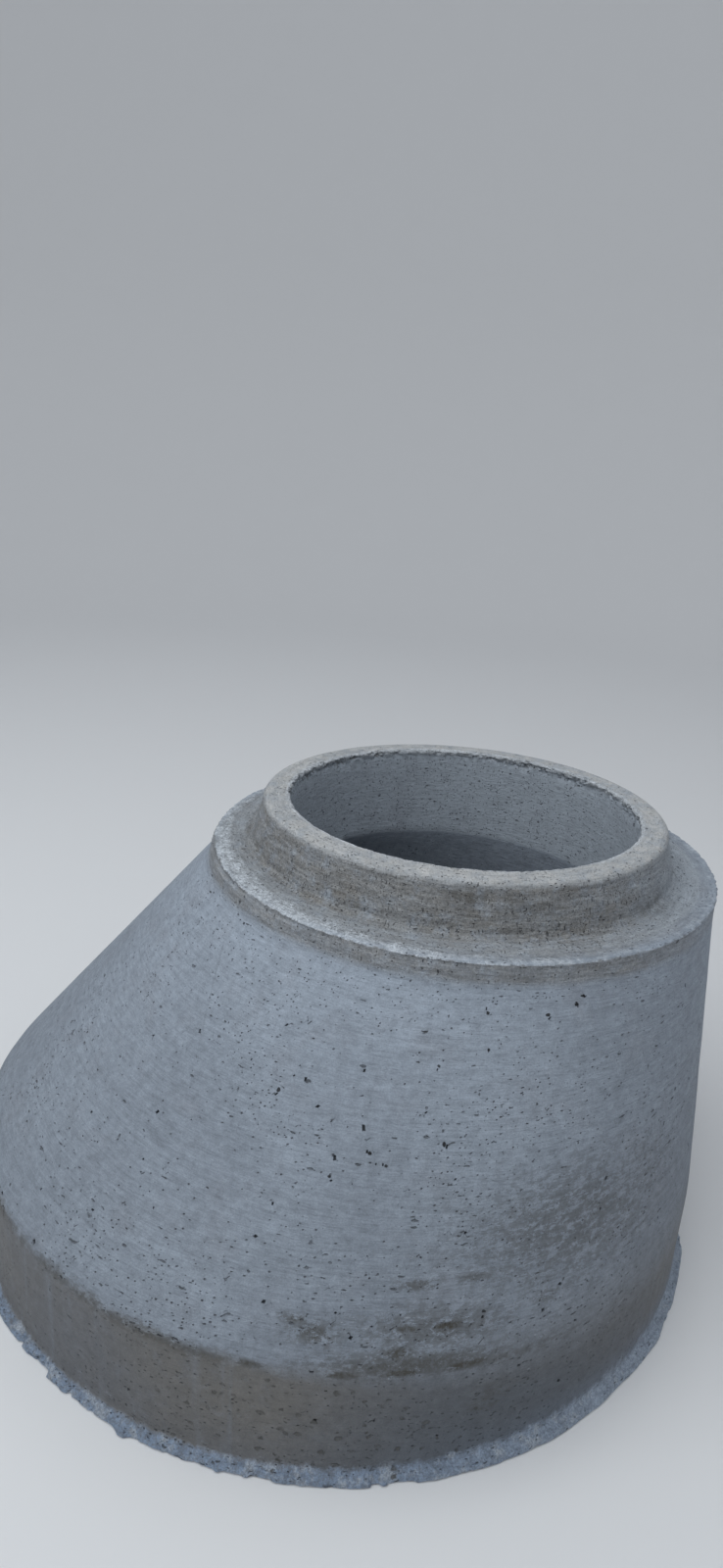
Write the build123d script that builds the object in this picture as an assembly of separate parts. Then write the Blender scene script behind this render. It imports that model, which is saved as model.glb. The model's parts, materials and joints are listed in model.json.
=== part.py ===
from build123d import *
import os

# Eccentric concrete manhole cone, cast as one piece and standing on its wide end.
# Millimetres, +Z up. The origin is the centre of the base circle, on the floor.
# The plumb side of the cone faces +X.

# Clear widths of the inside: the access opening above and the chamber below
opening_diameter = 600
chamber_diameter = 1000

# Walls and ledges, measured across
neck_wall = 50
ledge_width = 82.5
base_wall = 120
flash_reach = 17

# Heights, each of its own stretch of the outside, from the floor up
base_band_height = 175
taper_height = 425
rim_band_height = 35
neck_height = 80
flash_thickness = 10

# Heights of the inside: the bore from the top down, the chamber's straight wall
opening_depth = 175
chamber_band_height = 100

# Rebate under the base that seats on the spigot of the ring below
ring_spigot_wall = 52
ring_spigot_height = 72
socket_clearance = 3

# Edges
neck_foot_radius = 24
neck_lip_radius = 10
opening_edge_radius = 5
shoulder_edge_radius = 3
socket_seat_radius = 4
socket_mouth_chamfer = 8
flash_edge_radius = 4

# Outer diameters worked out from the clear widths and the walls
base_diameter = chamber_diameter + 2 * base_wall
flash_diameter = base_diameter + 2 * flash_reach
neck_diameter = opening_diameter + 2 * neck_wall
shoulder_diameter = neck_diameter + 2 * ledge_width
socket_diameter = chamber_diameter + 2 * (ring_spigot_wall + socket_clearance)

# Levels above the floor
taper_foot = base_band_height
taper_head = taper_foot + taper_height
shoulder_level = taper_head + rim_band_height
top_level = shoulder_level + neck_height
opening_foot = top_level - opening_depth
socket_seat = ring_spigot_height + socket_clearance
chamber_head = socket_seat + chamber_band_height

# The outside is plumb along +X, where the base and the shoulder are flush
neck_offset = (base_diameter - shoulder_diameter) / 2

standing = (Align.CENTER, Align.CENTER, Align.MIN)


def drum(diameter, low, high, offset=0.0):
    return Pos(offset, 0, low) * Cylinder(diameter / 2, high - low, align=standing)


def leaning_cone(low_diameter, low, high_diameter, high):
    """A cone that runs from a circle over the base to a circle under the neck."""
    wide_end = Pos(0, 0, low) * Circle(low_diameter / 2)
    narrow_end = Pos(neck_offset, 0, high) * Circle(high_diameter / 2)
    return loft([wide_end, narrow_end], ruled=True)


def round_edges(solid, diameter, level):
    """The circular edges of a given diameter at a given height."""
    return [
        edge
        for edge in solid.edges().filter_by(GeomType.CIRCLE)
        if abs(2 * edge.radius - diameter) < 0.01 and abs(edge.arc_center.Z - level) < 0.01
    ]


def outside():
    body = drum(base_diameter, 0, taper_foot)
    body += leaning_cone(base_diameter, taper_foot, shoulder_diameter, taper_head)
    body += drum(shoulder_diameter, taper_head, shoulder_level, neck_offset)
    body += drum(neck_diameter, shoulder_level, top_level, neck_offset)
    body += drum(flash_diameter, 0, flash_thickness)
    body = fillet(round_edges(body, neck_diameter, shoulder_level), neck_foot_radius)
    body = fillet(round_edges(body, neck_diameter, top_level), neck_lip_radius)
    body = fillet(round_edges(body, shoulder_diameter, shoulder_level), shoulder_edge_radius)
    return fillet(round_edges(body, flash_diameter, flash_thickness), flash_edge_radius)


def inside():
    hollow = drum(opening_diameter, opening_foot, top_level, neck_offset)
    hollow += leaning_cone(chamber_diameter, chamber_head, opening_diameter, opening_foot)
    hollow += drum(chamber_diameter, socket_seat, chamber_head)
    return hollow + drum(socket_diameter, 0, socket_seat)


casting = outside() - inside()
casting = fillet(round_edges(casting, opening_diameter, top_level), opening_edge_radius)
casting = fillet(round_edges(casting, socket_diameter, socket_seat), socket_seat_radius)
casting = chamfer(round_edges(casting, socket_diameter, 0), socket_mouth_chamfer)

os.makedirs("parts", exist_ok=True)
export_step(casting, "parts/cone_casting.step")

print("base", base_diameter, "shoulder", shoulder_diameter, "neck", neck_diameter)
print("height", top_level, "offset", neck_offset, "litres", round(casting.volume / 1e6, 2))
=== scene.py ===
import json
import math
import random
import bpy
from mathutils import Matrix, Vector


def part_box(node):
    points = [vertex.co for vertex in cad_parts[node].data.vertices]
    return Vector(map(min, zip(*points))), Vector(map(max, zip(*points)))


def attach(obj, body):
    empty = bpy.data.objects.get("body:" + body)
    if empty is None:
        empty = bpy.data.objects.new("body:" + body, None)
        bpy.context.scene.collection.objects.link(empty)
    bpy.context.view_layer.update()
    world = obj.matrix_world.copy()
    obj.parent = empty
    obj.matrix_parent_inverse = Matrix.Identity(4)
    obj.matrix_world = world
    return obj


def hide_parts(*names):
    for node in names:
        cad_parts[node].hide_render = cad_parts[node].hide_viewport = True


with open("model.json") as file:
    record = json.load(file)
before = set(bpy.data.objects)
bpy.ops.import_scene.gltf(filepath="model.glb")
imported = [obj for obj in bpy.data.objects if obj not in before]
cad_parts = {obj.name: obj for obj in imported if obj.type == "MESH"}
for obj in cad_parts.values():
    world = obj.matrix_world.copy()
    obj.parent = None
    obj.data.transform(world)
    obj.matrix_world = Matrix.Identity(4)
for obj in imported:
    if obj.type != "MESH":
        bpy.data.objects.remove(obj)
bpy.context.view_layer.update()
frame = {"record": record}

from types import SimpleNamespace

import bpy
from mathutils import Matrix, Vector, noise

mounts = {mount["name"]: mount for mount in frame["record"]["mounts"]}


# The cone, one casting. Sizes that the frame holds are read from its mounts, in metres.
cone = {
    "segments": 360,
    "neckOffset": mounts["access_opening"]["pos_m"][0],
    "openingRadius": mounts["access_opening"]["dims"]["r_mm"] / 1000,
    "neckRadius": mounts["neck_spigot"]["dims"]["r_mm"] / 1000,
    "socketRadius": mounts["base_socket"]["dims"]["r_mm"] / 1000,
    "ledgeLevel": mounts["shoulder_ledge"]["pos_m"][2],
    "topLevel": mounts["neck_rim"]["pos_m"][2],
    "flashRadius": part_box("cone_casting")[1].x,
    "baseRadius": 0.620,
    "chamberRadius": 0.500,
    "rimRadius": 0.4325,
    "taperFoot": 0.175,
    "taperHead": 0.600,
    "openingFoot": 0.540,
    "chamberHead": 0.175,
    "socketSeat": 0.075,
    "socketChamfer": 0.008,
    "kinkSoftness": 0.016,
    "neckFlare": 0.0090,
    "neckDraft": 0.0125,
    "footRadius": 0.013,
    "lipRadius": 0.013,
    "edgeRadius": 0.006,
    "flashNose": 0.0035,
    # The groove under the lip, between two shares of the neck's height
    "lipGroove": {"depth": 0.0018, "above": 0.7, "below": 0.95},
    # Rings under the foot, between the rebate and the flash
    "soleRadii": [0.600, 0.622],
    # The flash rises to the band like a smear of mortar: (reach beyond the band, level)
    "flashSlope": [
        (0.0138, 0.0076), (0.0110, 0.0090), (0.0080, 0.0104), (0.0050, 0.0120), (0.0026, 0.0138),
        (0.0010, 0.0158), (0.0002, 0.0185),
    ],
    # Up the side, with closer rings at the kinks: (level, rings up to it)
    "sideStretches": [(0.156, 11), (0.196, 5), (0.580, 32), (0.616, 5)],
    # The ledge's edge stands a little proud of the rim band: (back from its widest ring, below the ledge)
    "rimLip": 0.0015,
    "rimLipFoot": 0.011,
    "rimLipRound": [(0.0006, 0.0065), (0, 0.0024), (0.0018, 0.0004), (0.006, 0), (0.012, 0)],
    # Closer rings down the opening, under its edge
    "edgeStretch": 0.018,
    "weldReach": 0.00005,
    "sharpFrom": 38,
    # Radius of the straight drum that the brush marks are laid out on
    "drumRadius": 0.5,
    # How far in from the outer wall still counts as outside
    "outsideDepth": 0.03,
}


def evenly(first, last, count):
    # Numbers after first, up to and with last
    return [first + (last - first) * step / count for step in range(1, count + 1)]


def arcSteps(centreRadius, centreLevel, size, fromAngle, toAngle, count):
    # Rings along a round, as (radius, level)
    rings = []
    for angle in evenly(fromAngle, toAngle, count):
        turn = math.radians(angle)
        rings.append((centreRadius + size * math.cos(turn), centreLevel + size * math.sin(turn)))
    return rings


def leanAt(level):
    # Radius and sideways shift of the outside, with both kinks softened and the plumb side straight
    span = cone["taperHead"] - cone["taperFoot"]
    soft = cone["kinkSoftness"]

    def risenPast(kink):
        over = level - kink
        if over <= -soft:
            return 0.0
        if over >= soft:
            return over
        return (over + soft) ** 2 / (4 * soft)

    share = (risenPast(cone["taperFoot"]) - risenPast(cone["taperHead"])) / span
    radius = cone["baseRadius"] + (cone["rimRadius"] - cone["baseRadius"]) * share
    return radius, cone["neckOffset"] * share


def onCone(mark):
    # A mark's place on the outside or on the neck, from its turn round the cone and its height
    radius, lean = leanAt(mark["level"])
    if mark["level"] > cone["ledgeLevel"]:
        radius = cone["neckRadius"]
    turn = math.radians(mark["turn"])
    return Vector((lean + radius * math.cos(turn), radius * math.sin(turn), mark["level"]))


def outerRings():
    # From under the foot, round the flash and up to the rim, as (radius, level, shift)
    nose = cone["flashNose"]
    noseRadius = cone["flashRadius"] - nose
    rings = [(cone["socketRadius"] + cone["socketChamfer"], 0.0, 0.0)]
    rings += [(radius, 0.0, 0.0) for radius in [*cone["soleRadii"], noseRadius]]
    rings += [(radius, level, 0.0) for radius, level in arcSteps(noseRadius, nose, nose, -90, 60, 2)]
    rings += [(cone["baseRadius"] + reach, level, 0.0) for reach, level in cone["flashSlope"]]
    levels = [rings[-1][1]]
    for level, count in cone["sideStretches"]:
        levels += evenly(levels[-1], level, count)
    levels.append(cone["ledgeLevel"] - cone["rimLipFoot"])
    for level in levels[1:]:
        radius, lean = leanAt(level)
        rings.append((radius, level, lean))
    lip = cone["rimRadius"] + cone["rimLip"]
    for back, below in cone["rimLipRound"]:
        rings.append((lip - back, cone["ledgeLevel"] - below, cone["neckOffset"]))
    return rings


def neckRings():
    # Across the ledge, up the neck, which is wider at its foot than the plain one, and over the lip
    foot = cone["footRadius"]
    neckFoot = cone["neckRadius"] + cone["neckFlare"]
    ledgeOuter = cone["rimRadius"] + cone["rimLip"] - cone["rimLipRound"][-1][0]
    ledgeInner = neckFoot + foot
    rings = [(radius, cone["ledgeLevel"]) for radius in evenly(ledgeOuter, ledgeInner, 5)]
    rings += arcSteps(ledgeInner, cone["ledgeLevel"] + foot, foot, -90, -180, 6)
    lipFoot = cone["topLevel"] - cone["lipRadius"]
    groove = cone["lipGroove"]
    for share in evenly(0, 1, 6):
        level = cone["ledgeLevel"] + foot + (lipFoot - cone["ledgeLevel"] - foot) * share
        depth = groove["depth"] if groove["above"] < share < groove["below"] else 0.0
        rings.append((neckFoot - cone["neckDraft"] * share - depth, level))
    outerLip = neckFoot - cone["neckDraft"] - cone["lipRadius"]
    rings += arcSteps(outerLip, lipFoot, cone["lipRadius"], 0, 90, 6)
    edge = cone["edgeRadius"]
    innerLip = cone["openingRadius"] + edge
    rings += [(radius, cone["topLevel"]) for radius in evenly(outerLip, innerLip, 4)]
    rings += arcSteps(innerLip, cone["topLevel"] - edge, edge, 90, 180, 4)
    return [(radius, level, cone["neckOffset"]) for radius, level in rings]


def innerRings():
    # Down the opening, the leaning inside and the chamber, and out under the foot
    shift = cone["neckOffset"]
    edgeFoot = cone["topLevel"] - cone["edgeRadius"]
    closeFoot = edgeFoot - cone["edgeStretch"]
    levels = evenly(edgeFoot, closeFoot, 3) + evenly(closeFoot, cone["openingFoot"], 11)
    rings = [(cone["openingRadius"], level, shift) for level in levels]
    span = cone["openingFoot"] - cone["chamberHead"]
    for level in evenly(cone["openingFoot"], cone["chamberHead"], 11):
        share = (level - cone["chamberHead"]) / span
        radius = cone["chamberRadius"] + (cone["openingRadius"] - cone["chamberRadius"]) * share
        rings.append((radius, level, shift * share))
    for level in evenly(cone["chamberHead"], cone["socketSeat"], 4):
        rings.append((cone["chamberRadius"], level, 0.0))
    rings.append((cone["socketRadius"], cone["socketSeat"], 0.0))
    for level in evenly(cone["socketSeat"], cone["socketChamfer"], 3):
        rings.append((cone["socketRadius"], level, 0.0))
    rings.append((cone["socketRadius"] + cone["socketChamfer"], 0.0, 0.0))
    return rings


def selectOnly(piece):
    bpy.ops.object.select_all(action="DESELECT")
    piece.select_set(True)
    bpy.context.view_layer.objects.active = piece


def editMode():
    bpy.ops.object.mode_set(mode="EDIT")


def objectMode():
    bpy.ops.object.mode_set(mode="OBJECT")


def storeSkin(piece, rings):
    # Each point's place on a straight drum: round the ring, and along the section. Brush marks follow it.
    skin = piece.data.attributes.new("skin", "FLOAT_VECTOR", "POINT")
    drum = cone["drumRadius"]
    travel = 0.0
    for index, (radius, level, shift) in enumerate(rings):
        if index:
            travel += math.hypot(radius - rings[index - 1][0], level - rings[index - 1][1])
        for corner in range(index * cone["segments"], (index + 1) * cone["segments"]):
            place = piece.data.vertices[corner].co
            skin.data[corner].vector = (drum * (place.x - shift) / radius, drum * place.y / radius, travel)


def raiseCasting():
    # One circle is extruded ring by ring round the whole section, and the last ring is welded to the first
    rings = outerRings() + neckRings() + innerRings()
    radius, level, shift = rings[0]
    bpy.ops.object.select_all(action="DESELECT")
    bpy.ops.mesh.primitive_circle_add(vertices=cone["segments"], radius=radius, location=(shift, 0, level))
    casting = bpy.context.object
    casting.name = "cone_casting_cast"
    editMode()
    for nextRadius, nextLevel, nextShift in rings[1:]:
        bpy.ops.mesh.extrude_region_move(
            TRANSFORM_OT_translate={"value": (nextShift - shift, 0, nextLevel - level)}
        )
        grow = nextRadius / radius
        bpy.ops.transform.resize(value=(grow, grow, 1), center_override=(nextShift, 0, nextLevel))
        radius, level, shift = nextRadius, nextLevel, nextShift
    objectMode()
    bpy.ops.object.transform_apply(location=True, rotation=True, scale=True)
    storeSkin(casting, rings)
    editMode()
    bpy.ops.mesh.select_all(action="SELECT")
    bpy.ops.mesh.remove_doubles(threshold=cone["weldReach"])
    bpy.ops.mesh.normals_make_consistent(inside=False)
    objectMode()
    return casting


# Relief of the cast skin. Lengths in metres, turns in degrees. A wave is (strength, size, layer of noise).
relief = {
    "seed": 23,
    "swell": 0.0022,
    "swellSizes": {"wide": 0.21, "narrow": 0.045},
    "flashBite": 0.0062,
    "flashMean": 0.35,
    "flashWaves": [(0.60, 0.110, 3)],
    "flashNicks": [(0.17, 0.030, 7), (0.06, 0.009, 9)],
    "flashChips": [
        {"depth": 0.0060, "size": 0.075, "layer": 11, "from": 0.26, "full": 0.34},
        {"depth": 0.0015, "size": 0.034, "layer": 13, "from": 0.22, "full": 0.28},
    ],
    "flashDeepest": 0.012,
    "flashLift": 0.0042,
    "flashLiftWaves": [(1.0, 0.014, 5)],
    # Where the flash is sound, and the tongue and the drip that run out of it
    "flashSound": {"turn": -62, "width": 40},
    "flashSpots": [
        {"turn": -132.4, "width": 0.8, "reach": 0.005},
        {"turn": -119.7, "width": 0.35, "reach": 0.001},
    ],
    "rimBite": 0.0026,
    "rimMean": 0.20,
    "rimWaves": [(0.45, 0.045, 2), (0.9, 0.009, 8)],
    "rimWear": {"turn": 178, "width": 42, "depth": 0.0075},
    "paleRim": {"turn": -170, "width": 42},
    "openingBite": 0.0050,
    "openingUndercut": 0.0050,
    "openingWaves": [(0.7, 0.018, 4), (0.7, 0.0065, 9)],
    "openingWear": [
        {"turn": 140, "width": 48},
        {"turn": 35, "width": 38},
        {"turn": -15, "width": 14},
    ],
    # Air holes: the share of faces that hold one, by place
    "pitShare": {
        "bore": 0.075, "neck": 0.016, "inside": 0.030, "band": 0.012, "poredBand": 0.11,
        "taper": 0.026, "lowTaper": 0.045,
    },
    "pored": {"turn": -109, "level": 0.090, "reach": 0.14},
    "pitMargin": 0.0015,
    "pitLip": 0.0004,
    "pitDepth": 0.0042,
    "pitLength": {"least": 0.0012, "more": 0.0042, "rarity": 4},
    "pitSquat": (0.40, 0.85),
    "pitTilt": 0.5,
    "pitUneven": (0.8, 1.2),
    "bigPitShare": 0.6,
    # The largest air holes, each where the photo shows it. The smeared ones are paler.
    # Each hole's dark is its share of painted shade
    "bigHoles": [
        {"turn": -88, "level": 0.585, "length": 0.0070, "height": 0.0032, "dark": 1.00},
        {"turn": -89, "level": 0.576, "length": 0.0045, "height": 0.0050, "dark": 1.00},
        {"turn": -94, "level": 0.566, "length": 0.0060, "height": 0.0040, "dark": 0.95},
        {"turn": -105, "level": 0.569, "length": 0.0045, "height": 0.0040, "dark": 0.95},
        {"turn": -102.5, "level": 0.527, "length": 0.0036, "height": 0.0036, "dark": 0.90},
        {"turn": -109.5, "level": 0.506, "length": 0.0038, "height": 0.0032, "dark": 0.90},
        {"turn": -121, "level": 0.494, "length": 0.0080, "height": 0.0036, "dark": 0.72},
        {"turn": -128, "level": 0.465, "length": 0.0080, "height": 0.0044, "dark": 0.72},
        {"turn": -131.5, "level": 0.447, "length": 0.0050, "height": 0.0046, "dark": 0.95},
        {"turn": -104, "level": 0.420, "length": 0.0044, "height": 0.0054, "dark": 1.00},
        {"turn": -114, "level": 0.404, "length": 0.0050, "height": 0.0040, "dark": 1.00},
        {"turn": -111, "level": 0.393, "length": 0.0042, "height": 0.0034, "dark": 0.95},
        {"turn": -118, "level": 0.374, "length": 0.0044, "height": 0.0034, "dark": 0.95},
        {"turn": -90.5, "level": 0.232, "length": 0.0060, "height": 0.0036, "dark": 0.95},
    ],
}


def smooth(low, high, value):
    share = min(1.0, max(0.0, (value - low) / (high - low)))
    return share * share * (3 - 2 * share)


def turnOf(x, y):
    return math.degrees(math.atan2(y, x))


def neckDistance(place):
    return math.hypot(place.x - cone["neckOffset"], place.y)


def fromNeck(place):
    # Level direction from the neck's middle to a place
    return Vector((place.x - cone["neckOffset"], place.y, 0)).normalized()


def isOutside(place):
    radius, lean = leanAt(place.z)
    return math.hypot(place.x - lean, place.y) > radius - cone["outsideDepth"]


def flashShare(place):
    if place.z > 0.022:
        return 0.0
    reach = math.hypot(place.x, place.y)
    return smooth(cone["baseRadius"] + 0.001, cone["flashRadius"] - 0.004, reach)


def rimShare(place):
    if place.z > cone["ledgeLevel"] + 0.004:
        return 0.0
    across = smooth(cone["rimRadius"] - 0.020, cone["rimRadius"] - 0.004, neckDistance(place))
    return across * smooth(cone["ledgeLevel"] - 0.013, cone["ledgeLevel"] - 0.005, place.z)


def openingShare(place):
    if place.z < cone["topLevel"] - 0.030:
        return 0.0
    across = 1 - smooth(cone["openingRadius"] + 0.004, cone["openingRadius"] + 0.013, neckDistance(place))
    return across * smooth(cone["topLevel"] - 0.018, cone["topLevel"] - 0.005, place.z)


def edgeShare(place):
    return max(flashShare(place), rimShare(place), openingShare(place))


def sideShare(place):
    top = cone["topLevel"]
    clear = smooth(0.012, 0.040, place.z) * (1 - smooth(top - 0.014, top - 0.003, place.z))
    return clear * (1 - rimShare(place)) * (1 - openingShare(place))


def selectFaces(piece, wanted):
    objectMode()
    for edge in piece.data.edges:
        edge.select = False
    for vertex in piece.data.vertices:
        vertex.select = False
    for face in piece.data.polygons:
        face.select = wanted(face)
    editMode()
    bpy.ops.mesh.select_mode(type="FACE")


def drawFaces(piece):
    # A random number for each face, worked out from its place, so that it doesn't hang on the faces' order
    mesh = piece.data
    numbers = mesh.attributes.new("drawn", "FLOAT", "FACE")
    for face in mesh.polygons:
        corners = sorted(tuple(mesh.vertices[corner].co) for corner in face.vertices)
        numbers.data[face.index].value = random.Random(f"{relief['seed']} {corners}").random()


def drawnNumbers(piece):
    return [entry.value for entry in piece.data.attributes["drawn"].data]


def refineEdges(piece):
    # Splits the faces along the flash, the rim and the opening, where the real edges are ragged
    selectOnly(piece)
    selectFaces(piece, lambda face: edgeShare(face.center) > 0.02 and face.center.z > 0.0001)
    bpy.ops.mesh.subdivide(number_cuts=1)
    selectFaces(piece, lambda face: flashShare(face.center) > 0.995 and face.center.z > 0.0001)
    bpy.ops.mesh.subdivide(number_cuts=1)
    objectMode()


def paintGroup(piece, name, shareAt):
    group = piece.vertex_groups.new(name=name)
    for vertex in piece.data.vertices:
        share = shareAt(vertex.co)
        if share > 0.01:
            group.add([vertex.index], share, "REPLACE")


def displace(piece, group, size, strength):
    texture = bpy.data.textures.new(f"{group}_{size}", "CLOUDS")
    texture.noise_scale = size
    modifier = piece.modifiers.new("displace", "DISPLACE")
    modifier.texture = texture
    modifier.texture_coords = "LOCAL"
    modifier.vertex_group = group
    modifier.strength = strength
    bpy.ops.object.modifier_apply(modifier=modifier.name)


def grain(place, size, layer):
    # Noise from -1 to 1 with features of the given size
    return noise.fractal(Vector(place) / size + Vector((layer, 0, -layer)), 0.8, 2.0, 3)


def ripple(place, waves):
    return sum(strength * grain(place, size, layer) for strength, size, layer in waves)


def nearTurn(turn, spot):
    away = (turn - spot["turn"] + 180) % 360 - 180
    return math.exp(-(away / spot["width"]) ** 2)


def flashBiteAt(flat, turn):
    # How far the flash is eaten back: waves and nicks, chips broken off, and spots that run out instead
    broken = 1 - 0.85 * nearTurn(turn, relief["flashSound"])
    bite = relief["flashMean"] + ripple(flat, relief["flashWaves"])
    bite += broken * ripple(flat, relief["flashNicks"])
    bite = relief["flashBite"] * max(0.0, bite)
    for chip in relief["flashChips"]:
        loose = smooth(chip["from"], chip["full"], grain(flat, chip["size"], chip["layer"]))
        bite += broken * chip["depth"] * loose
    bite = min(bite, relief["flashDeepest"])
    for spot in relief["flashSpots"]:
        bite -= (bite + spot["reach"]) * min(1.0, 1.3 * nearTurn(turn, spot))
    return bite


def biteFlash(piece):
    # Eats into the flash unevenly from its rim, and lifts and sinks its top
    for vertex in piece.data.vertices:
        share = flashShare(vertex.co)
        if share <= 0:
            continue
        flat = Vector((vertex.co.x, vertex.co.y, 0))
        bite = flashBiteAt(flat, turnOf(vertex.co.x, vertex.co.y))
        vertex.co -= flat.normalized() * bite * share
        if vertex.co.z > 0.001:
            lift = ripple(vertex.co, relief["flashLiftWaves"]) * smooth(0, 0.006, vertex.co.z)
            vertex.co.z += relief["flashLift"] * share * lift


def biteRim(piece):
    # Crumbles the outer edge of the ledge, and wears it back where the cone leans in most
    for vertex in piece.data.vertices:
        share = rimShare(vertex.co)
        if share <= 0:
            continue
        out = fromNeck(vertex.co)
        bite = relief["rimMean"] + ripple(vertex.co, relief["rimWaves"])
        worn = relief["rimWear"]["depth"] * nearTurn(turnOf(out.x, out.y), relief["rimWear"])
        vertex.co -= out * (relief["rimBite"] * max(-0.3, bite) + worn) * share
        vertex.co.z -= (0.35 * relief["rimBite"] * max(-0.2, bite) + 0.15 * worn) * share


def biteOpening(piece):
    # Chips the inner edge of the opening and undercuts it, most at the back
    top = cone["topLevel"]
    for vertex in piece.data.vertices:
        if vertex.co.z < top - 0.030 or neckDistance(vertex.co) > cone["openingRadius"] + 0.013:
            continue
        out = fromNeck(vertex.co)
        worn = max(nearTurn(turnOf(out.x, out.y), spot) for spot in relief["openingWear"])
        ragged = ripple(vertex.co, relief["openingWaves"])
        chipped = relief["openingBite"] * openingShare(vertex.co) * (0.42 + 0.65 * worn)
        under = smooth(top - 0.026, top - 0.014, vertex.co.z)
        under *= 1 - smooth(top - 0.010, top - 0.003, vertex.co.z)
        bite = chipped * max(-0.2, 0.10 + ragged)
        bite += relief["openingUndercut"] * under * worn * max(0.0, 0.35 + 1.1 * ragged)
        vertex.co += out * bite
        vertex.co.z -= 0.5 * max(0.0, bite) * smooth(top - 0.006, top, vertex.co.z)


def pitChance(face):
    # How likely a face holds an air hole: most on the lower front of the taper and on the bore
    place = face.center
    if edgeShare(place) > 0.01 or place.z < 0.03:
        return 0.0
    share = relief["pitShare"]
    patchy = 0.35 + 1.3 * max(0.0, grain(place, 0.22, 12) + 0.25)
    if place.z > cone["ledgeLevel"] - 0.010:
        return share["bore" if neckDistance(place) < cone["openingRadius"] + 0.005 else "neck"] * patchy
    if not isOutside(place):
        return share["inside"] * patchy
    if place.z < cone["taperFoot"] - 0.01:
        pored = math.exp(-((place - onCone(relief["pored"])).length / relief["pored"]["reach"]) ** 2)
        return share["band"] * patchy + share["poredBand"] * pored
    low = 1 - smooth(0.30, 0.58, place.z)
    return (share["taper"] + share["lowTaper"] * low) * patchy


def nearestFace(faces, place):
    return min(faces, key=lambda face: (face.center - place).length_squared)


def shapePit(mesh, face, draw, bigHole):
    # Draws one face to a small oval that lies along the ring
    middle = face.center.copy()
    along = Vector((-middle.y, middle.x, 0))
    along = (along - face.normal * along.dot(face.normal)).normalized()
    up = face.normal.cross(along)
    room = 0.0002 + max(abs((mesh.vertices[corner].co - middle).dot(along)) for corner in face.vertices)
    size = relief["pitLength"]
    length = min(room, size["least"] + size["more"] * draw.random() ** size["rarity"])
    height = length * draw.uniform(*relief["pitSquat"])
    tilt = draw.uniform(-relief["pitTilt"], relief["pitTilt"])
    if bigHole:
        length = min(room, relief["bigPitShare"] * bigHole["length"])
        height = relief["bigPitShare"] * bigHole["height"]
    arms = {corner: mesh.vertices[corner].co - middle for corner in face.vertices}
    turns = sorted((math.atan2(arm.dot(up), arm.dot(along)), corner) for corner, arm in arms.items())
    for turn, corner in turns:
        side = length * draw.uniform(*relief["pitUneven"]) * math.cos(turn)
        rise = height * draw.uniform(*relief["pitUneven"]) * math.sin(turn)
        spot = middle + along * (side * math.cos(tilt) - rise * math.sin(tilt))
        spot += up * (side * math.sin(tilt) + rise * math.cos(tilt))
        spot.z = min(spot.z, cone["topLevel"])
        mesh.vertices[corner].co = spot


def sinkPits(piece):
    # Insets single faces, shapes each as an air hole and sinks it
    selectOnly(piece)
    drawn = drawnNumbers(piece)
    outer = [face for face in piece.data.polygons if face.center.y < -0.3 and isOutside(face.center)]
    chosen = {nearestFace(outer, onCone(hole)).index for hole in relief["bigHoles"]}
    selectFaces(piece, lambda face: drawn[face.index] < pitChance(face) or face.index in chosen)
    bpy.ops.mesh.inset(thickness=relief["pitMargin"], depth=0, use_individual=True)
    objectMode()
    mesh = piece.data
    pits = [face for face in mesh.polygons if face.select]
    big = {nearestFace(pits, onCone(hole)).index: hole for hole in relief["bigHoles"]}
    drawn = drawnNumbers(piece)
    for face in pits:
        shapePit(mesh, face, random.Random(f"{drawn[face.index]}"), big.get(face.index))
    editMode()
    bpy.ops.mesh.inset(thickness=relief["pitLip"], depth=-relief["pitDepth"], use_individual=True)
    objectMode()
    mesh.attributes.remove(mesh.attributes["drawn"])
    group = piece.vertex_groups.new(name="pits")
    group.add([corner for face in mesh.polygons if face.select for corner in face.vertices], 1.0, "REPLACE")
    return len(pits)


def warmShare(place):
    # Where the form left a browner, smoother face: the neck, its foot and the band under the rim, which is
    # also painted darker as the shade under the ledge's edge
    if place.z > cone["ledgeLevel"] - 0.002:
        distance = neckDistance(place)
        if distance < cone["openingRadius"] + 0.004:
            return 0.0
        top = smooth(cone["topLevel"] - 0.012, cone["topLevel"] - 0.002, place.z)
        foot = 1 - smooth(cone["neckRadius"] + 0.010, cone["neckRadius"] + 0.034, distance)
        ledge = 1 - smooth(cone["rimRadius"] - 0.020, cone["rimRadius"], distance)
        return (0.62 + 0.33 * foot) * (1 - 0.65 * top) * ledge
    if not isOutside(place):
        return 0.0
    # The band under the rim: a browner face, and painted shade under the ledge's edge
    return 0.74 * smooth(cone["taperHead"] - 0.004, cone["taperHead"] + 0.010, place.z)


def paleShare(place):
    # Where fresh, crumbled mortar shows: the flash, the ledge's outer edge and the opening's edge
    if place.z < 0.06:
        if math.hypot(place.x, place.y) <= cone["baseRadius"] - 0.002:
            return 0.0
        sound = nearTurn(turnOf(place.x, place.y), relief["flashSound"])
        return 1 - smooth(0.008, 0.018 + 0.026 * sound, place.z)
    ledge = cone["ledgeLevel"]
    if abs(place.z - ledge) < 0.012:
        broad = nearTurn(turnOf(place.x - cone["neckOffset"], place.y), relief["paleRim"])
        width = 0.004 + 0.024 * broad + 0.010 * max(-0.5, grain(place, 0.06, 15))
        across = smooth(cone["rimRadius"] - width - 0.022, cone["rimRadius"] - width, neckDistance(place))
        fresh = 0.38 + 0.62 * broad + 0.30 * grain(place, 0.05, 16)
        return min(1.0, fresh) * across * smooth(ledge - 0.0050, ledge - 0.0015, place.z)
    return 0.7 * openingShare(place)


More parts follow.
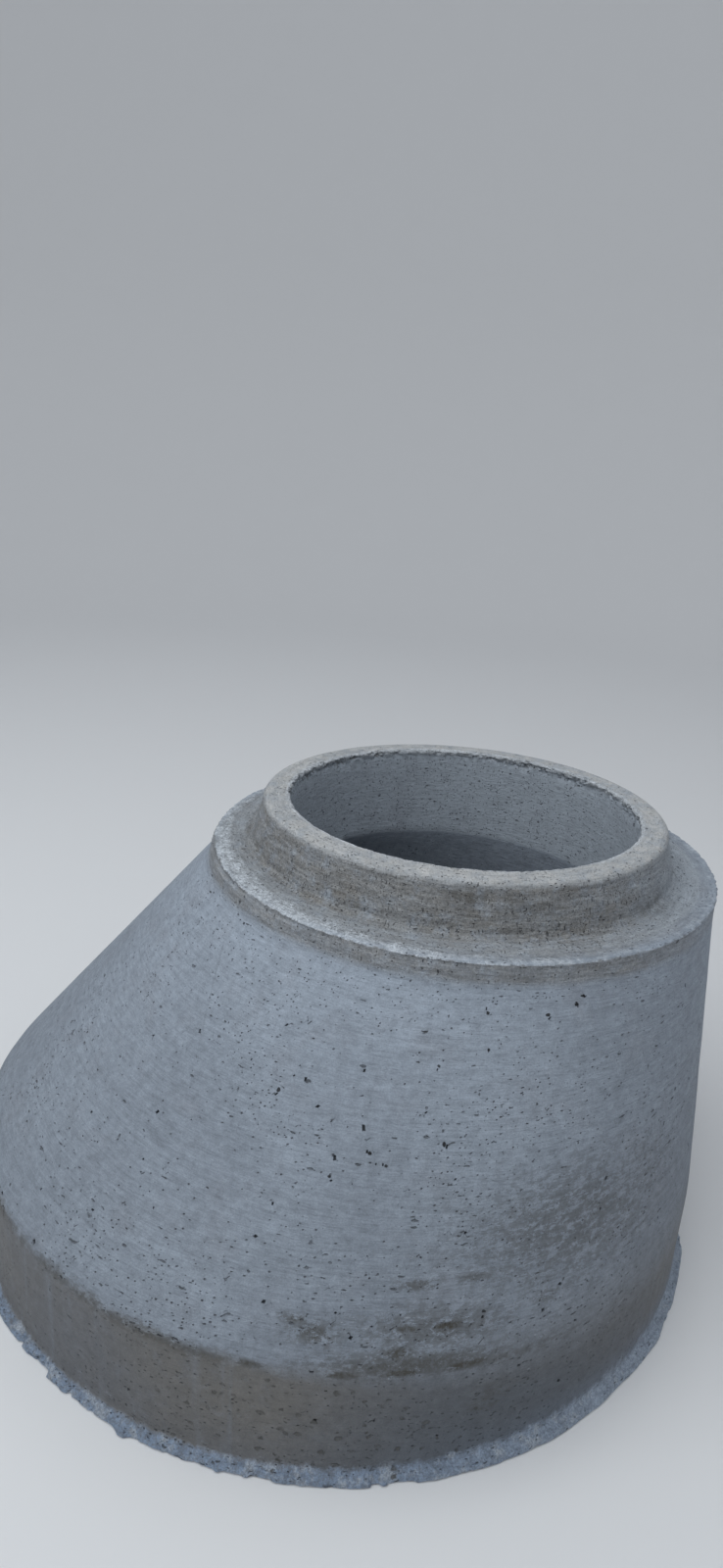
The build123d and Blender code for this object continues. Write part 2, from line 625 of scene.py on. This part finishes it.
def storeZones(piece):
    # Keeps where each finish lies, for the material: pale edges, warm faces, the outside, and the sunk pits,
    # whose faces get painted shade
    mesh = piece.data
    zones = mesh.attributes.new("zones", "FLOAT_COLOR", "POINT")
    pits = piece.vertex_groups["pits"].index
    for vertex in mesh.vertices:
        place = vertex.co
        outside = 1.0 if isOutside(place) else 0.0
        pit = 1.0 if any(link.group == pits for link in vertex.groups) else 0.0
        zones.data[vertex.index].color = (paleShare(place), warmShare(place), outside, pit)


print("casting")
casting = raiseCasting()
drawFaces(casting)
refineEdges(casting)
print("edges refined", len(casting.data.polygons), "faces")
paintGroup(casting, "sides", sideShare)
selectOnly(casting)
displace(casting, "sides", relief["swellSizes"]["wide"], relief["swell"])
displace(casting, "sides", relief["swellSizes"]["narrow"], relief["swell"] / 3)
biteFlash(casting)
biteRim(casting)
biteOpening(casting)
pitCount = sinkPits(casting)
storeZones(casting)
casting.data.calc_loop_triangles()
print("pits", pitCount, "triangles", len(casting.data.loop_triangles))


# Finish of the concrete: colours, noise, and places of what stained or marked it, in metres
concrete = {
    "bodyTone": (0.255, 0.290, 0.338),
    "bodyPale": (0.304, 0.346, 0.402),
    "bodyDull": (0.215, 0.232, 0.262),
    "bandTone": (0.170, 0.177, 0.190),
    "bandWarm": (0.198, 0.190, 0.176),
    # Painted shade for the base band's front-right, darker and bluer
    "bandCool": (0.118, 0.134, 0.156),
    "warmTone": (0.240, 0.246, 0.250),
    "warmDull": (0.187, 0.179, 0.166),
    "lipTone": (0.468, 0.463, 0.448),
    "insideTone": (0.355, 0.395, 0.440),
    "paleTone": (0.610, 0.650, 0.690),
    "flashTone": (0.285, 0.365, 0.490),
    "stainTone": (0.060, 0.056, 0.047),
    # Painted shade in air holes, pores, sunk pits and the crease, darkest in the largest holes
    "holeTone": (0.046, 0.049, 0.054),
    "poreTone": (0.066, 0.064, 0.058),
    "deepTone": (0.016, 0.017, 0.019),
    "chipTone": (0.420, 0.455, 0.500),
    "roughness": 0.88,
    # Noise in space, from hand-wide clouds to grains of sand
    "clouds": {
        "drift": {"scale": 3.2, "detail": 3.0},
        "gathered": {"scale": 6.5, "detail": 4.0},
        "blotch": {"scale": 15.0, "detail": 4.0, "roughness": 0.62},
        "rubbed": {"scale": 36.0, "detail": 5.0, "roughness": 0.72},
        "mottle": {"scale": 70.0, "detail": 4.0, "roughness": 0.65},
        "crumbs": {"scale": 210.0, "detail": 3.0, "roughness": 0.75},
        "shaken": {"scale": 240.0, "detail": 2.0, "roughness": 0.7},
        "sand": {"scale": 420.0, "detail": 2.0, "roughness": 0.7},
    },
    # Noise that follows the skin: along the rings, or down the wall
    "strokes": {
        "brushed": {"stretch": (16, 16, 170), "detail": 4.0, "roughness": 0.65},
        "dragged": {"stretch": (38, 38, 380), "shift": (3, 1, 0), "detail": 3.0, "roughness": 0.6},
        "runs": {"stretch": (34, 34, 2.5), "shift": (0, 5, 0), "detail": 3.0, "roughness": 0.6},
        "wiped": {"stretch": (7, 7, 75), "shift": (2, 0, 1), "detail": 4.0, "roughness": 0.7},
        "streaks": {"stretch": (60, 60, 95), "detail": 5.0, "roughness": 0.85},
    },
    # Scattered holes: a large stretch makes them flat, and widest is a share of the cell
    "holes": {
        "torn": {"stretch": (1, 1, 3.4), "scale": 34.0, "widest": 0.21},
        "pores": {"stretch": (1, 1, 0.9), "shift": (5, 5, 2), "scale": 72.0, "widest": 0.36},
        "dragMarks": {"stretch": (2.4, 2.4, 0.8), "scale": 60.0, "widest": 0.26},
        "small": {"stretch": (1, 1, 2.4), "shift": (1, 1, 1), "scale": 84.0, "widest": 0.25},
        "pinholes": {"stretch": (1, 1, 1.3), "scale": 170.0, "widest": 0.29},
        "chips": {"stretch": (1, 1, 2.0), "shift": (4, 2, 1), "scale": 105.0, "widest": 0.24},
    },
    # Noise that bends the outlines of the holes
    "bend": {"scale": 130.0, "detail": 2.0, "reach": (0.012, 0.012, 0.004)},
    # Relief finer than the mesh
    "depths": {
        "brushed": 0.0009, "dragged": 0.0011, "mottle": 0.0016, "sand": 0.00045, "crumbled": 0.0036,
        "worn": 0.0045, "speckled": 0.0012, "holes": -0.0032, "crease": -0.0008,
    },
    "stains": [
        {"turn": -95, "level": 0.223, "width": 0.050, "height": 0.015, "share": 1.00},
        {"turn": -100, "level": 0.223, "width": 0.040, "height": 0.010, "share": 0.90},
        {"turn": -100, "level": 0.198, "width": 0.042, "height": 0.014, "share": 0.95},
        {"turn": -91, "level": 0.176, "width": 0.070, "height": 0.012, "share": 1.00},
        {"turn": -99, "level": 0.176, "width": 0.060, "height": 0.011, "share": 1.00},
        {"turn": -106, "level": 0.174, "width": 0.050, "height": 0.010, "share": 0.95},
        {"turn": -117, "level": 0.175, "width": 0.035, "height": 0.008, "share": 0.90},
        {"turn": -111, "level": 0.215, "width": 0.060, "height": 0.022, "share": 0.80},
        {"turn": -114, "level": 0.227, "width": 0.035, "height": 0.010, "share": 0.80},
        {"turn": -100.5, "level": 0.269, "width": 0.060, "height": 0.014, "share": 0.70},
        {"turn": -93, "level": 0.272, "width": 0.050, "height": 0.013, "share": 0.65},
        {"turn": -81.5, "level": 0.231, "width": 0.045, "height": 0.016, "share": 0.60},
        {"turn": -96, "level": 0.222, "width": 0.180, "height": 0.045, "share": 0.66},
        {"turn": -98, "level": 0.184, "width": 0.220, "height": 0.026, "share": 0.80},
        {"turn": -87, "level": 0.110, "width": 0.070, "height": 0.050, "share": 0.45},
        {"turn": -66, "level": 0.334, "width": 0.140, "height": 0.080, "share": 0.38},
        {"turn": -80, "level": 0.310, "width": 0.320, "height": 0.140, "share": 0.56},
        {"turn": -111, "level": 0.690, "width": 0.060, "height": 0.016, "share": 0.70},
        {"turn": -96, "level": 0.680, "width": 0.120, "height": 0.020, "share": 0.50},
        {"turn": -56, "level": 0.640, "width": 0.070, "height": 0.030, "share": 0.55},
    ],
    # Wide patches: two of another finish on the band's left, and two of painted shade on the front-right,
    # low on the band and on the taper
    "coolPatch": {"turn": -84, "level": 0.060, "width": 0.38, "height": 0.18, "share": 0.92},
    "warmPatch": {"turn": -116, "level": 0.120, "width": 0.24, "height": 0.14, "share": 0.85},
    "poredPatch": {"turn": -109, "level": 0.090, "width": 0.28, "height": 0.16, "share": 1.0},
    "dampPatch": {"turn": -58, "level": 0.260, "width": 0.46, "height": 0.20, "share": 0.40},
    # A fine line on the taper, from the slip of the form; its share is painted shade along the line's
    # groove. The taper's axis is that far along X there.
    "crease": {
        "start": {"turn": -161, "level": 0.572},
        "end": {"turn": -147.5, "level": 0.439},
        "axis": 0.12,
        "width": 0.0025,
        "share": 0.13,
    },
}
material = bpy.data.materials.new("cast_concrete")
material.use_nodes = True
tree = material.node_tree


def addNode(kind, inputs=None, **settings):
    node = tree.nodes.new(kind)
    for name, value in settings.items():
        setattr(node, name, value)
    for name, value in (inputs or {}).items():
        if isinstance(value, bpy.types.NodeSocket):
            tree.links.new(value, node.inputs[name])
        else:
            node.inputs[name].default_value = value
    return node


def cloud(vector, scale, detail=3.0, roughness=0.55):
    settings = {"Vector": vector, "Scale": scale, "Detail": detail, "Roughness": roughness}
    return addNode("ShaderNodeTexNoise", settings).outputs["Fac"]


def stretched(vector, scale, shift=(0, 0, 0)):
    return addNode("ShaderNodeMapping", {"Vector": vector, "Scale": scale, "Location": shift}).outputs[0]


def stroke(vector, stretch, detail, roughness, shift=(0, 0, 0)):
    return cloud(stretched(vector, stretch, shift), 1.0, detail, roughness)


def remap(value, fromLow, fromHigh, toLow=0.0, toHigh=1.0):
    settings = {"Value": value, "From Min": fromLow, "From Max": fromHigh, "To Min": toLow, "To Max": toHigh}
    return addNode("ShaderNodeMapRange", settings, clamp=True).outputs[0]


def reckon(operation, first, second=0.0, third=0.0):
    return addNode("ShaderNodeMath", {0: first, 1: second, 2: third}, operation=operation).outputs[0]


def vectorMath(operation, first, second=(0, 0, 0)):
    return addNode("ShaderNodeVectorMath", {0: first, 1: second}, operation=operation).outputs


def times(first, *others):
    for other in others:
        first = reckon("MULTIPLY", first, other)
    return first


def largest(first, *others):
    for other in others:
        first = reckon("MAXIMUM", first, other)
    return first


def added(base, value, factor):
    # The base, and on it the value times the factor
    return reckon("MULTIPLY_ADD", value, factor, base)


def heldBack(shade, share):
    # A shade near 1 that acts only by the given share
    return added(1.0, reckon("SUBTRACT", shade, 1.0), share)


def blendTones(share, first, second, mode="MIX"):
    # Mix node in colour mode: its colour sockets are numbers 6 and 7
    inputs = {0: share}
    for index, tone in ((6, first), (7, second)):
        inputs[index] = tone if isinstance(tone, bpy.types.NodeSocket) else (*tone, 1)
    return addNode("ShaderNodeMix", inputs, data_type="RGBA", blend_type=mode).outputs[2]


def airHoles(vector, kept, stretch, scale, widest, shift=(0, 0, 0)):
    # Scattered oval holes: one in some of the cells, each of its own size
    cells = addNode("ShaderNodeTexVoronoi", {"Vector": stretched(vector, stretch, shift), "Scale": scale})
    pick = addNode("ShaderNodeSeparateColor", {"Color": cells.outputs["Color"]})
    chosen = reckon("LESS_THAN", pick.outputs[0], kept)
    size = remap(pick.outputs[1], 0, 1, widest * 0.35, widest)
    depth = reckon("DIVIDE", reckon("SUBTRACT", size, cells.outputs["Distance"]), size)
    return times(remap(depth, 0.0, 0.5), chosen)


def patchAt(place, mark):
    # A soft oval on the outside, turned and stretched to lie along the wall
    settings = {
        "Vector": place,
        "Location": onCone(mark),
        "Rotation": (0, 0, math.radians(mark["turn"])),
        "Scale": (0.05 + 0.25 * mark["width"], mark["width"], mark["height"]),
    }
    oval = addNode("ShaderNodeMapping", settings, vector_type="TEXTURE").outputs[0]
    return remap(vectorMath("LENGTH", oval)["Value"], 1.0, 0.2, 0.0, mark["share"])


def creaseAt(place):
    # A fine straight line between two marks, on the side that faces them
    crease = concrete["crease"]
    start, end = onCone(crease["start"]), onCone(crease["end"])
    along = (end - start).normalized()
    middle = (start + end) / 2
    across = along.cross(Vector((middle.x - crease["axis"], middle.y, 0)).normalized()).normalized()
    away = vectorMath("SUBTRACT", place, middle)[0]
    aside = vectorMath("DOT_PRODUCT", away, across)["Value"]
    reach = vectorMath("DOT_PRODUCT", away, along)["Value"]
    thin = remap(reckon("ABSOLUTE", aside), crease["width"], 0.0)
    half = (end - start).length / 2
    ends = remap(reckon("ABSOLUTE", reach), half, half * 0.6)
    front = remap(addNode("ShaderNodeSeparateXYZ", {0: place}).outputs[0], -0.05, -0.15)
    return times(thin, ends, front)


def readSurface():
    # Where a point lies, which zone it is in, and all the noise there
    at = SimpleNamespace()
    at.place = addNode("ShaderNodeTexCoord").outputs["Object"]
    at.across, at.back, at.level = addNode("ShaderNodeSeparateXYZ", {0: at.place}).outputs
    at.skin = addNode("ShaderNodeAttribute", attribute_name="skin").outputs["Vector"]
    zones = addNode("ShaderNodeAttribute", attribute_name="zones")
    split = addNode("ShaderNodeSeparateColor", {"Color": zones.outputs["Color"]})
    at.paleZone, at.warmZone, at.outside = split.outputs
    # Where the sunk pits are, to be painted with shade
    at.pit = zones.outputs["Alpha"]
    for name, settings in concrete["clouds"].items():
        setattr(at, name, cloud(at.place, **settings))
    for name, settings in concrete["strokes"].items():
        setattr(at, name, stroke(at.skin, **settings))
    return at


def cutZones(at):
    # Noise nudges the zones before they are cut, so that their borders are ragged
    nudge = added(-0.45, at.mottle, 0.9)
    at.low = remap(at.level, 0.10, 0.02)
    wavy = added(nudge, times(reckon("SUBTRACT", at.rubbed, 0.5), at.low), 1.4)
    at.pale = remap(reckon("ADD", at.paleZone, wavy), 0.22, 0.80)
    at.lip = remap(at.level, cone["topLevel"] - 0.011, cone["topLevel"] - 0.003)
    at.warm = remap(added(at.warmZone, nudge, 0.5), 0.05, 0.95)
    # Painted light: less of the browner face towards +X, so the neck's right side is lighter, as if lit from
    # that side
    at.warm = times(at.warm, remap(at.across, 0.24, 0.46, 1.0, 0.35))
    border = added(added(at.level, at.mottle, 0.014), at.blotch, 0.030)
    softness = remap(at.across, -0.28, 0.12, 0.008, 0.050)
    above = reckon("DIVIDE", reckon("SUBTRACT", border, cone["taperFoot"] + 0.022), softness)
    at.band = times(at.outside, remap(above, -1.0, 1.0, 1, 0))
    hollow = reckon("SUBTRACT", 1.0, at.outside)
    boreFoot = cone["openingFoot"]
    at.bore = times(hollow, remap(at.level, boreFoot - 0.005, boreFoot + 0.002))
    # Painted shade: darker down in the chamber, below the bore
    at.deep = times(hollow, remap(at.level, boreFoot + 0.002, boreFoot - 0.005))
    # The band is calmer than the rest, and the bore's grain more even
    at.calm = added(1.0, at.band, -0.75)
    at.even = added(1.0, at.bore, -0.6)


def bandTones(at):
    # The base band: warm on the left, painted shade in front and to the right, darker and bluer, pale down
    # its runs and towards the flash
    tone = blendTones(remap(at.drift, 0.40, 0.60, 0, 0.5), concrete["bandTone"], concrete["bandWarm"])
    tone = blendTones(patchAt(at.place, concrete["warmPatch"]), tone, concrete["bandWarm"])
    tone = blendTones(remap(at.runs, 0.54, 0.70, 0, 0.42), tone, concrete["bodyTone"])
    tone = blendTones(remap(at.rubbed, 0.52, 0.72, 0, 0.45), tone, concrete["bodyDull"])
    # Painted shade: darker and bluer at the band's front-right
    tone = blendTones(patchAt(at.place, concrete["coolPatch"]), tone, concrete["bandCool"])
    cooler = largest(remap(at.back, -0.25, 0.35, 0, 0.55), remap(at.across, 0.36, 0.58, 0, 0.50))
    tone = blendTones(cooler, tone, concrete["bodyTone"])
    fade = times(remap(at.level, 0.070, 0.012, 0, 0.32), remap(at.across, -0.15, 0.25))
    return blendTones(fade, tone, concrete["flashTone"])


def warmTones(at):
    # The neck, the ledge and the rim band: grimy in streaks, rubbed pale in spots
    grimy = times(remap(at.wiped, 0.38, 0.62), remap(at.blotch, 0.30, 0.60, 0.35, 1))
    tone = blendTones(grimy, concrete["warmTone"], concrete["warmDull"])
    return blendTones(remap(at.rubbed, 0.50, 0.70, 0, 0.60), tone, concrete["bodyPale"])


def freshTones(at):
    # Crumbled mortar: near white on the ledge and the opening, bluer on the flash
    tone = blendTones(at.low, concrete["paleTone"], concrete["flashTone"])
    bright = largest(remap(at.rubbed, 0.50, 0.62, 0, 0.6), remap(at.across, -0.10, 0.25, 0, 0.35))
    return blendTones(times(at.low, bright), tone, concrete["paleTone"])


def cleanTones(at):
    # Colour of the casting before the shading, stains and holes, with painted shade on the taper's lower
    # right
    tone = blendTones(remap(at.drift, 0.36, 0.66), concrete["bodyTone"], concrete["bodyPale"])
    tone = blendTones(at.bore, tone, concrete["insideTone"])
    tone = blendTones(remap(at.blotch, 0.50, 0.74, 0, 0.55), tone, concrete["bodyDull"])
    # Painted shade: darker on the lower right of the taper
    tone = blendTones(patchAt(at.place, concrete["dampPatch"]), tone, concrete["bodyDull"])
    tone = blendTones(at.band, tone, bandTones(at))
    tone = blendTones(at.warm, tone, warmTones(at))
    tone = blendTones(times(at.lip, remap(at.rubbed, 0.35, 0.60, 0.2, 0.9)), tone, concrete["lipTone"])
    patchy = remap(at.crumbs, 0.40, 0.58, remap(at.low, 0, 1, 0.40, 0.50), 1)
    flecked = largest(at.low, remap(at.rubbed, 0.38, 0.54, 0.46, 1.0))
    return blendTones(times(at.pale, patchy, flecked), tone, freshTones(at))


def shadeOf(at):
    # Lighter and darker by stroke and grain, with painted shade down in the chamber and towards the ground
    strokes = times(remap(at.brushed, 0.3, 0.7, 0.89, 1.10), remap(at.dragged, 0.3, 0.7, 0.86, 1.13))
    shade = heldBack(strokes, at.calm)
    shade = times(shade, heldBack(remap(at.mottle, 0.3, 0.7, 0.86, 1.14), at.even))
    shade = times(shade, remap(at.blotch, 0.3, 0.7, 0.94, 1.07), remap(at.sand, 0.25, 0.75, 0.85, 1.15))
    shade = times(shade, heldBack(remap(at.crumbs, 0.36, 0.64, 0.80, 1.20), at.warm))
    shade = times(shade, heldBack(remap(at.brushed, 0.36, 0.64, 0.84, 1.14), at.warm))
    scratched = times(remap(at.dragged, 0.56, 0.70), at.blotch)
    # Painted shade down in the chamber
    shade = times(shade, added(1.0, at.deep, -0.17), added(1.0, scratched, -0.38))
    # Painted shade: darker towards the ground, lighter high up
    shade = times(shade, remap(at.level, 0.10, 0.58, 0.78, 1.05))
    return addNode("ShaderNodeCombineColor", {0: shade, 1: shade, 2: shade}).outputs[0]


def stainShare(at):
    # Dirt in patches and all along the kink above the base band, broken by streaky noise
    kink = reckon("ABSOLUTE", reckon("SUBTRACT", at.level, cone["taperFoot"] - 0.002))
    kink = times(at.outside, remap(kink, 0.017, 0.0, 0, 0.75), remap(at.drift, 0.40, 0.56, 0.25, 1))
    kink = times(kink, remap(at.across, 0.02, 0.22, 1, 0.2))
    stained = largest(kink, *[patchAt(at.place, stain) for stain in concrete["stains"]])
    broken = remap(added(at.streaks, stained, 0.20), 0.550, 0.600)
    return times(stained, broken, remap(at.crumbs, 0.38, 0.56, 0.60, 1.0))


def bigHoleShare(at):
    # The largest air holes, each with a ragged outline, filled with painted shade
    shaken = added(-0.3, at.shaken, 2.6)
    spots = []
    for hole in relief["bigHoles"]:
        mark = {**hole, "width": hole["length"] * 0.8, "height": hole["height"] * 0.8, "share": 1.6}
        spots.append(remap(times(patchAt(at.place, mark), shaken), 0.55, 0.75, 0.0, hole["dark"]))
    return times(largest(*spots), at.outside)


def pierce(at, tone):
    # Torn marks, pores and pinholes, denser in patches, each painted dark as the shade inside it. The band
    # and the neck have no torn marks.
    kinds = concrete["holes"]
    patch = remap(at.gathered, 0.40, 0.66, 0.08, 1.0)
    patch = times(patch, remap(at.level, 0.25, 0.55, 1.0, 0.6))
    patch = largest(patch, times(at.warm, 0.6), times(at.bore, 0.95))
    pored = times(patchAt(at.place, concrete["poredPatch"]), at.band)
    rough = reckon("SUBTRACT", 1.0, largest(at.band, at.warm, at.pale))
    bend = concrete["bend"]
    warp = {"Vector": at.skin, "Scale": bend["scale"], "Detail": bend["detail"]}
    warped = addNode("ShaderNodeTexNoise", warp).outputs["Color"]
    bent = vectorMath("ADD", at.skin, vectorMath("MULTIPLY", warped, bend["reach"])[0])[0]

    torn = airHoles(bent, times(patch, rough, 0.95), **kinds["torn"])
    pores = airHoles(bent, pored, **kinds["pores"])
    dragMarks = airHoles(bent, times(at.warm, patch, 0.8), **kinds["dragMarks"])
    speckled = times(at.band, remap(at.level, 0.042, 0.020), 0.85)
    small = airHoles(bent, largest(times(patch, 0.70), speckled, times(pored, 0.2)), **kinds["small"])
    pinholes = airHoles(at.skin, times(patch, 0.80), **kinds["pinholes"])
    holes = largest(torn, dragMarks, small, pinholes)
    faded = remap(at.blotch, 0.35, 0.65, 0.45, 0.95)
    # Painted shade: the holes and pores darkened as if shade filled them
    tone = blendTones(times(holes, faded), tone, concrete["holeTone"])
    tone = blendTones(times(pores, faded, 0.9), tone, concrete["poreTone"])
    chips = airHoles(bent, times(patch, rough, 0.40), **kinds["chips"])
    tone = blendTones(times(chips, 0.45), tone, concrete["chipTone"])
    # Painted shade on the faces of the sunk pits
    tone = blendTones(times(at.pit, 0.85), tone, concrete["holeTone"])
    # Painted shade, near black, in the largest holes
    tone = blendTones(bigHoleShare(at), tone, concrete["deepTone"])
    return tone, largest(holes, times(pores, 0.6))


def raiseBump(at, holes, crease):
    # Relief finer than the mesh
    layers = {
        "brushed": times(at.brushed, at.calm),
        "dragged": times(at.dragged, at.calm),
        "mottle": times(at.mottle, at.calm, at.even),
        "sand": times(at.sand, at.calm),
        "crumbled": times(at.crumbs, at.pale, remap(at.low, 0, 1, 1, 0.8)),
        "worn": times(at.rubbed, largest(at.lip, times(at.warm, 0.4))),
        "speckled": times(at.crumbs, at.warm),
        "holes": holes,
        "crease": crease,
    }
    height = 0.0
    for name, layer in layers.items():
        height = added(height, layer, concrete["depths"][name])
    return addNode("ShaderNodeBump", {"Strength": 1.0, "Distance": 1.0, "Height": height}).outputs[0]


def mixConcrete():
    at = readSurface()
    cutZones(at)
    tone = blendTones(1.0, cleanTones(at), shadeOf(at), "MULTIPLY")
    tone = blendTones(stainShare(at), tone, concrete["stainTone"])
    tone, holes = pierce(at, tone)
    crease = times(creaseAt(at.place), at.outside)
    # Painted shade: a dark line along the crease
    tone = blendTones(times(crease, concrete["crease"]["share"]), tone, concrete["holeTone"])
    dry = reckon("ADD", remap(at.blotch, 0.3, 0.7, -0.06, 0.05), concrete["roughness"])
    shader = tree.nodes["Principled BSDF"]
    tree.links.new(tone, shader.inputs["Base Color"])
    tree.links.new(raiseBump(at, holes, crease), shader.inputs["Normal"])
    tree.links.new(added(dry, at.band, -0.14), shader.inputs["Roughness"])


print("concrete")
mixConcrete()
casting.data.materials.append(material)
selectOnly(casting)
bpy.ops.object.shade_smooth_by_angle(angle=math.radians(cone["sharpFrom"]))
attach(casting, "root")
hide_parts("cone_casting")


# Stage, light and camera. Lengths are in metres and angles in degrees.
stage = {
    "colour": (0.80, 0.80, 0.80),
    "roughness": 0.95,
    "level": -0.0004,
    "middleRadius": 5.5,
    "floorRadius": 6.0,
    "coveRadius": 3.0,
    "wallTop": 7.0,
    "segments": 96,
}
# The photo's viewing angle, fitted to the cone's outlines
view = {
    "turn": -18.30,
    "pitch": 18.443,
    "roll": 4.072,
    "place": (-0.00065, -1.5517, 1.2675),
    "focalPixels": 1002.9,
    "framePixels": 1600,
    "sensor": 36.0,
    "farthest": 200,
}
lights = {
    "sky": {
        "place": (-1.9, -0.9, 4.0),
        "aim": (0, 0, 0.3),
        "size": 4.5,
        "power": 104,
        "colour": (0.93, 0.97, 1.0),
    },
    "worldColour": (0.88, 0.93, 1.0),
    "worldPower": 0.55,
}


def plainMaterial(name, colour, roughness):
    plain = bpy.data.materials.new(name)
    plain.use_nodes = True
    shader = plain.node_tree.nodes["Principled BSDF"]
    shader.inputs["Base Color"].default_value = (*colour, 1)
    shader.inputs["Roughness"].default_value = roughness
    return plain


def layFloor():
    # A round floor that curves up into a wall, so that no horizon shows. A flat ring keeps its middle even.
    bpy.ops.object.select_all(action="DESELECT")
    radius, level, cove = stage["middleRadius"], stage["level"], stage["coveRadius"]
    bpy.ops.mesh.primitive_circle_add(
        vertices=stage["segments"], radius=radius, fill_type="NGON", location=(0, 0, level)
    )
    floor = bpy.context.object
    floor.name = "studio_floor"
    steps = [(stage["floorRadius"], level)]
    steps += arcSteps(stage["floorRadius"], cove, cove, -90, 0, 12)
    steps += [(stage["floorRadius"] + cove, stage["wallTop"])]
    editMode()
    bpy.ops.mesh.select_mode(type="EDGE")
    bpy.ops.mesh.select_all(action="SELECT")
    bpy.ops.mesh.region_to_loop()
    for nextRadius, nextLevel in steps:
        bpy.ops.mesh.extrude_region_move(TRANSFORM_OT_translate={"value": (0, 0, nextLevel - level)})
        grow = nextRadius / radius
        bpy.ops.transform.resize(value=(grow, grow, 1), center_override=(0, 0, nextLevel))
        radius, level = nextRadius, nextLevel
    bpy.ops.mesh.select_all(action="SELECT")
    bpy.ops.mesh.normals_make_consistent(inside=True)
    objectMode()
    floor.data.materials.append(plainMaterial("pale_floor", stage["colour"], stage["roughness"]))
    bpy.ops.object.shade_smooth()


def placeCamera():
    turned = Matrix.Rotation(math.radians(view["turn"]), 4, "Z")
    tilted = Matrix.Rotation(math.radians(90 - view["pitch"]), 4, "X")
    rolled = Matrix.Rotation(math.radians(view["roll"]), 4, "Z")
    bpy.ops.object.camera_add()
    camera = bpy.context.object
    camera.matrix_world = turned @ Matrix.Translation(view["place"]) @ tilted @ rolled
    camera.data.sensor_width = view["sensor"]
    camera.data.lens = view["focalPixels"] * view["sensor"] / view["framePixels"]
    camera.data.clip_end = view["farthest"]
    bpy.context.scene.camera = camera


def hangLight(light):
    bpy.ops.object.light_add(type="AREA", location=light["place"])
    lamp = bpy.context.object
    lamp.data.size = light["size"]
    lamp.data.energy = light["power"]
    lamp.data.color = light["colour"]
    lamp.rotation_euler = (Vector(light["aim"]) - lamp.location).to_track_quat("-Z", "Y").to_euler()


def lightWorld():
    world = bpy.data.worlds.new("studio")
    world.use_nodes = True
    background = world.node_tree.nodes["Background"]
    background.inputs["Color"].default_value = (*lights["worldColour"], 1)
    background.inputs["Strength"].default_value = lights["worldPower"]
    bpy.context.scene.world = world


print("studio")
layFloor()
placeCamera()
hangLight(lights["sky"])
lightWorld()
bpy.context.scene.view_settings.view_transform = "Standard"
